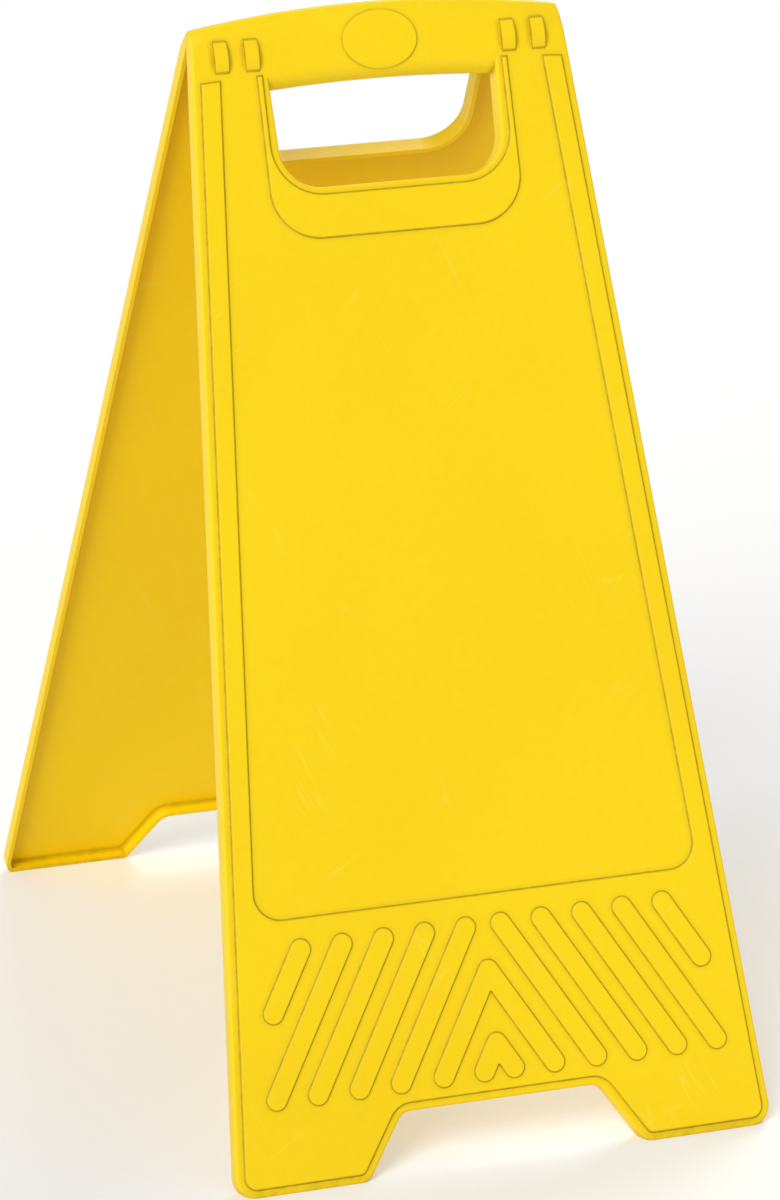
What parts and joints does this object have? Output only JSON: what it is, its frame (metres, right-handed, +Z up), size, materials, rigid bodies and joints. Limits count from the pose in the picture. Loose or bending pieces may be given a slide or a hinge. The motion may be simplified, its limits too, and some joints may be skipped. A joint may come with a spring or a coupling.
{
  "type": "floor warning sign",
  "caption": "Folding A-shaped floor sign: tapered moulded plastic panels with bare message fields, feet and hand holes, hinged inside a hollow handle bar along the top.",
  "frame": {"origin": "on the floor, midway between the feet of the two panels", "axes": "+Z up, +X along the width and the hinge line, the front panel at -Y"},
  "size_m": [0.2982, 0.4634, 0.5699],
  "materials": {
    "yellow_plastic": "satin moulded polypropylene",
    "steel_pin": "drawn steel",
    "plated_cap": "zinc plated"
  },
  "bodies": {
    "front": {"front_panel": "yellow_plastic", "left_hinge_pin": "steel_pin", "right_hinge_pin": "steel_pin", "left_pin_cap": "plated_cap", "right_pin_cap": "plated_cap"},
    "rear": {"rear_panel": "yellow_plastic"}
  },
  "joints": [
    {"name": "fold", "type": "hinge", "parent": "front", "child": "rear", "pos_m": [0, 0, 0.54536], "axis": [-1, 0, 0], "range_deg": [0, 43.8]}
  ]
}
